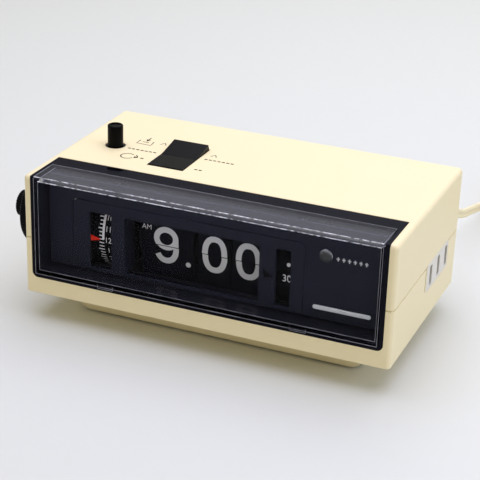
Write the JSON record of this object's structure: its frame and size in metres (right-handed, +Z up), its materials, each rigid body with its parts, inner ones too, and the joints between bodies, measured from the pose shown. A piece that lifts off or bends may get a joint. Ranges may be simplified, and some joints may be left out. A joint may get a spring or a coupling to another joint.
{
  "type": "flip alarm clock",
  "caption": "Mains flip-card table clock: long ivory case on a tapered plinth, clear front box, alarm and seconds drums, side setting knobs, top rocker and plunger, flat cord.",
  "frame": {"origin": "on the surface under the feet, at the middle of the overall box without the cord", "axes": "+X to the right along the clock's width seen from its front, +Y from the front to the back, +Z up"},
  "size_m": [0.2834, 0.3232, 0.0923],
  "materials": {
    "ivory_plastic": "satin",
    "bezel_plastic": "gloss",
    "clear_plastic": "gloss",
    "panel_plastic": "satin",
    "leaf_plastic": "matt",
    "drum_plastic": "matt",
    "red_plastic": "satin",
    "lamp_plastic": "gloss",
    "bulb_glass": "gloss",
    "badge_metal": "brushed",
    "grille_plastic": "satin",
    "foot_rubber": "matt",
    "sheet_steel": "brushed",
    "frame_steel": "satin",
    "bright_steel": "polished",
    "gear_plastic": "satin",
    "hub_plastic": "satin",
    "motor_steel": "satin",
    "copper_wire": "satin",
    "magnet": "matt",
    "knob_plastic": "satin",
    "switch_plastic": "satin",
    "plunger_plastic": "satin",
    "board": "satin",
    "cord_vinyl": "satin",
    "plug_vinyl": "satin",
    "blade_brass": "polished"
  },
  "bodies": {
    "case": {"lower_case": "ivory_plastic", "upper_case": "ivory_plastic", "base_plate": "sheet_steel", "rubber_feet": "foot_rubber", "case_screws": "sheet_steel", "side_grille": "grille_plastic", "front_bezel": "bezel_plastic", "lens": "clear_plastic", "face_panel": "panel_plastic", "clock_mask": "panel_plastic", "alarm_pointer": "red_plastic", "seconds_index": "drum_plastic", "set_lamp_lens": "lamp_plastic", "lamp_holder": "hub_plastic", "set_lamp_bulb": "bulb_glass", "badge": "badge_metal", "left_side_plate": "frame_steel", "right_side_plate": "frame_steel", "tie_bars": "bright_steel", "leaf_catch": "bright_steel", "hour_leaf_pack": "leaf_plastic", "tens_leaf_pack": "leaf_plastic", "units_leaf_pack": "leaf_plastic", "motor_cover": "motor_steel", "motor_can": "motor_steel", "motor_coil": "copper_wire", "plunger_bushing": "hub_plastic", "alarm_switch": "board", "buzzer_frame": "sheet_steel", "buzzer_coil": "copper_wire", "terminal_board": "board", "strain_relief": "cord_vinyl", "cord_tube": "cord_vinyl", "cord_coil": "cord_vinyl", "cord_tail": "cord_vinyl", "plug_body": "plug_vinyl", "plug_blades": "blade_brass"},
    "seconds_train": {"seconds_drum": "drum_plastic", "seconds_gear": "gear_plastic"},
    "minute_units": {"main_shaft": "bright_steel", "units_drum": "drum_plastic", "time_gear": "gear_plastic"},
    "minute_tens": {"tens_drum": "drum_plastic"},
    "hours": {"hour_drum": "drum_plastic"},
    "rotor": {"motor_rotor": "magnet", "motor_pinion": "gear_plastic"},
    "time_setter": {"time_knob": "knob_plastic", "time_pinion": "gear_plastic"},
    "alarm_train": {"alarm_drum": "drum_plastic", "alarm_gear": "gear_plastic"},
    "alarm_setter": {"alarm_knob": "knob_plastic", "alarm_knob_shaft": "bright_steel"},
    "hour_flap": {"hour_front_leaf": "leaf_plastic"},
    "tens_flap": {"tens_front_leaf": "leaf_plastic"},
    "units_flap": {"units_front_leaf": "leaf_plastic"},
    "rocker": {"alarm_rocker": "switch_plastic"},
    "plunger_rod": {"plunger_stem": "bright_steel", "plunger_spring": "bright_steel"},
    "plunger_cap": {"set_plunger": "plunger_plastic"},
    "reed": {"buzzer_reed": "sheet_steel"}
  },
  "joints": [
    {"name": "seconds_turn", "type": "hinge", "parent": "case", "child": "seconds_train", "pos_m": [0.0074, -0.01821, 0.0473], "axis": [1, 0, 0], "continuous": true},
    {"name": "units_turn", "type": "hinge", "parent": "case", "child": "minute_units", "pos_m": [0.0074, -0.01821, 0.0473], "axis": [1, 0, 0], "continuous": true},
    {"name": "tens_turn", "type": "hinge", "parent": "case", "child": "minute_tens", "pos_m": [0.0074, -0.01821, 0.0473], "axis": [1, 0, 0], "continuous": true},
    {"name": "hours_turn", "type": "hinge", "parent": "case", "child": "hours", "pos_m": [0.0074, -0.01821, 0.0473], "axis": [1, 0, 0], "continuous": true},
    {"name": "rotor_turn", "type": "hinge", "parent": "case", "child": "rotor", "pos_m": [0.0674, 0.00292, 0.04281], "axis": [1, 0, 0], "continuous": true},
    {"name": "time_knob_turn", "type": "hinge", "parent": "case", "child": "time_setter", "pos_m": [-0.0826, -0.03242, 0.05374], "axis": [1, 0, 0], "continuous": true},
    {"name": "alarm_turn", "type": "hinge", "parent": "case", "child": "alarm_train", "pos_m": [0.0074, -0.01821, 0.0473], "axis": [1, 0, 0], "continuous": true},
    {"name": "alarm_knob_turn", "type": "hinge", "parent": "case", "child": "alarm_setter", "pos_m": [-0.0826, -0.03242, 0.05374], "axis": [1, 0, 0], "continuous": true},
    {"name": "hour_flip", "type": "hinge", "parent": "case", "child": "hour_flap", "pos_m": [-0.0225, -0.03095, 0.0447], "axis": [1, 0, 0], "range_deg": [0, 180]},
    {"name": "tens_flip", "type": "hinge", "parent": "case", "child": "tens_flap", "pos_m": [0.0038, -0.03095, 0.0447], "axis": [1, 0, 0], "range_deg": [0, 180]},
    {"name": "units_flip", "type": "hinge", "parent": "case", "child": "units_flap", "pos_m": [0.0227, -0.03095, 0.0447], "axis": [1, 0, 0], "range_deg": [0, 180]},
    {"name": "rocker_tilt", "type": "hinge", "parent": "case", "child": "rocker", "pos_m": [-0.0325, 0.00275, 0.0761], "axis": [1, 0, 0], "range_deg": [-11, 0]},
    {"name": "plunger_press", "type": "slide", "parent": "case", "child": "plunger_rod", "axis": [0, 0, -1], "range_m": [0, 0.003], "stiffness_N_per_m": 300, "springref_m": -0.001, "deforming": ["plunger_spring"]},
    {"name": "plunger_turn", "type": "hinge", "parent": "plunger_rod", "child": "plunger_cap", "pos_m": [-0.0704, 0.00395, 0.085], "axis": [0, 0, 1], "range_deg": [0, 90]},
    {"name": "reed_spring", "type": "hinge", "parent": "case", "child": "reed", "pos_m": [-0.0426, 0.04365, 0.0366], "axis": [1, 0, 0], "range_deg": [0, 2.5], "stiffness_Nm_per_rad": 0.02, "springref_deg": -3.44}
  ],
  "couplings": [
    {"joint": "units_turn", "follows": "seconds_turn", "ratio": 0.1},
    {"joint": "tens_turn", "follows": "seconds_turn", "ratio": 0.0083333},
    {"joint": "hours_turn", "follows": "seconds_turn", "ratio": 0.00069444},
    {"joint": "rotor_turn", "follows": "seconds_turn", "ratio": -5},
    {"joint": "time_knob_turn", "follows": "seconds_turn", "ratio": -0.1},
    {"joint": "alarm_knob_turn", "follows": "alarm_turn", "ratio": -1.8889}
  ]
}
